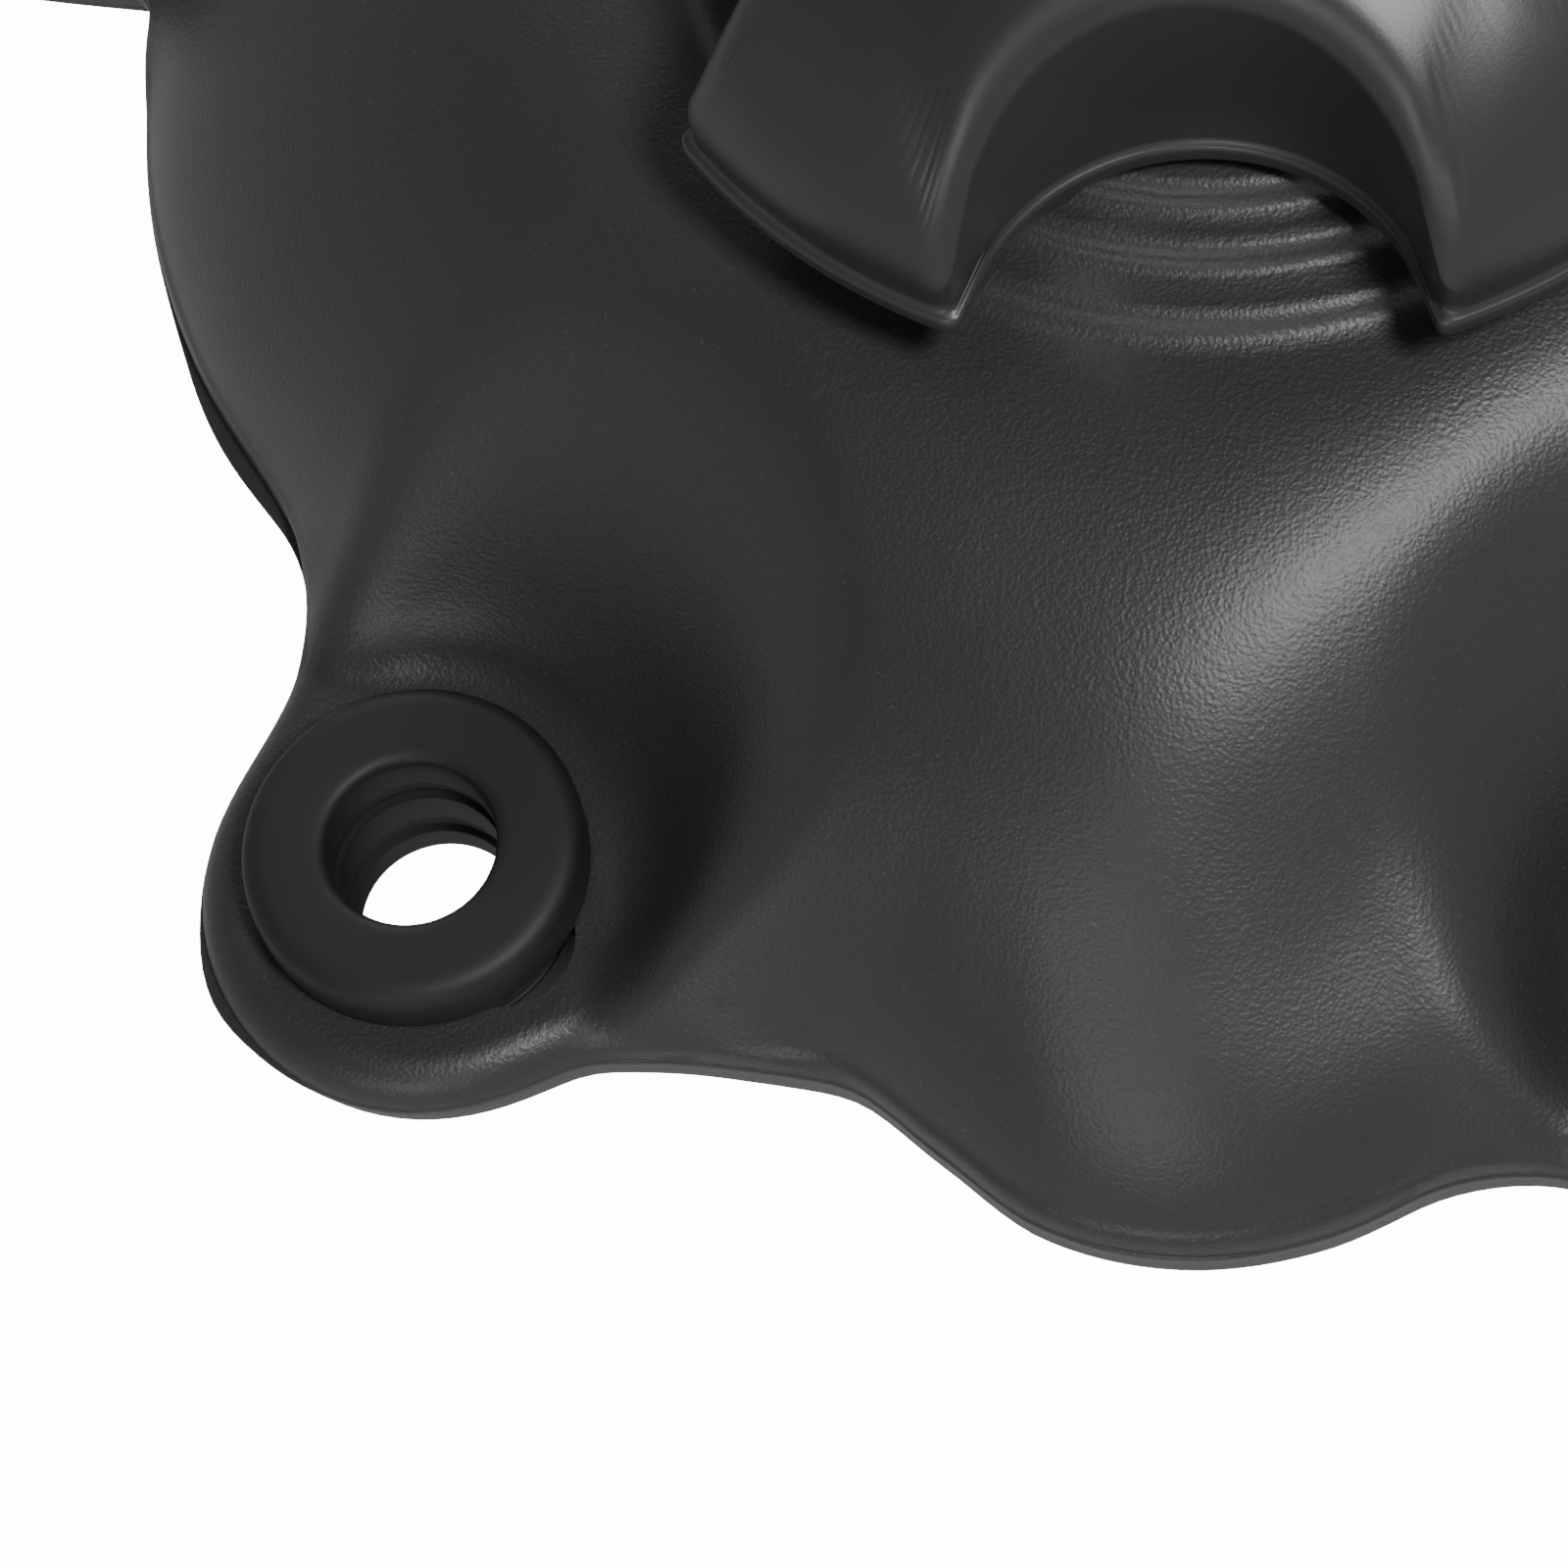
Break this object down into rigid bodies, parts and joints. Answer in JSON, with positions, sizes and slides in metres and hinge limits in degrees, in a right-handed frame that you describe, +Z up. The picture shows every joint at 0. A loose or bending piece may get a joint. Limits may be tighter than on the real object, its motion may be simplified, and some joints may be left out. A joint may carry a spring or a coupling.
{
  "type": "fuel tank",
  "caption": "Small-engine plastic fuel tank with rubber-mounted ears, lobed screw filler cap and an underside fuel tap.",
  "frame": {"origin": "the point of the flat base right under the filler neck's axis", "axes": "+Z up along the filler neck, nose towards -Y, fuel tap under the rear, +Y; +X to the tank's right seen from the nose"},
  "size_m": [0.1864, 0.1665, 0.0974],
  "materials": {
    "tank_plastic": "black stippled blow-moulded polyethylene, satin",
    "cap_plastic": "black smooth moulded plastic, soft sheen",
    "core_plastic": "black moulded nylon",
    "grommet_rubber": "smooth black moulded rubber, matte",
    "seal_rubber": "black nitrile rubber",
    "insert_brass": "turned brass",
    "tap_casting": "die-cast zinc alloy, light tumble",
    "lever_plastic": "black moulded nylon lever",
    "spring_steel": "spring steel",
    "plate_steel": "zinc-plated pressed steel",
    "screw_steel": "zinc-plated steel",
    "strainer_mesh": "off-white nylon mesh"
  },
  "bodies": {
    "tank": {"tank_shell": "tank_plastic", "tank_inserts": "insert_brass", "grommet_front_left": "grommet_rubber", "grommet_front_right": "grommet_rubber", "grommet_side_left": "grommet_rubber", "grommet_side_right": "grommet_rubber", "tap_gasket": "seal_rubber", "tap_body": "tap_casting", "tap_outlet": "insert_brass", "tap_valve_seal": "seal_rubber", "tap_wave_spring": "spring_steel", "tap_face_plate": "plate_steel", "tap_plate_screws": "screw_steel", "tap_mount_screws": "screw_steel", "tap_screw_washers": "screw_steel", "tap_standpipe": "insert_brass", "tap_strainer": "strainer_mesh"},
    "cap_lifter": {"cap_gasket": "seal_rubber"},
    "cap": {"cap_shell": "cap_plastic", "cap_core": "core_plastic", "vent_valve": "seal_rubber", "vent_baffle": "core_plastic"},
    "lever": {"tap_lever": "lever_plastic"}
  },
  "joints": [
    {"name": "cap_lift", "type": "slide", "parent": "tank", "child": "cap_lifter", "axis": [0, 0, 1], "range_m": [0, 0.0075]},
    {"name": "cap_turn", "type": "hinge", "parent": "cap_lifter", "child": "cap", "pos_m": [0, 0, 0.0764], "axis": [0, 0, 1], "range_deg": [0, 540]},
    {"name": "tap_turn", "type": "hinge", "parent": "tank", "child": "lever", "pos_m": [0, 0.079, 0.015], "axis": [0, 1, 0], "range_deg": [-90, 90]}
  ],
  "couplings": [
    {"joint": "cap_turn", "follows": "cap_lift", "rad_per_m": 1256.6}
  ]
}
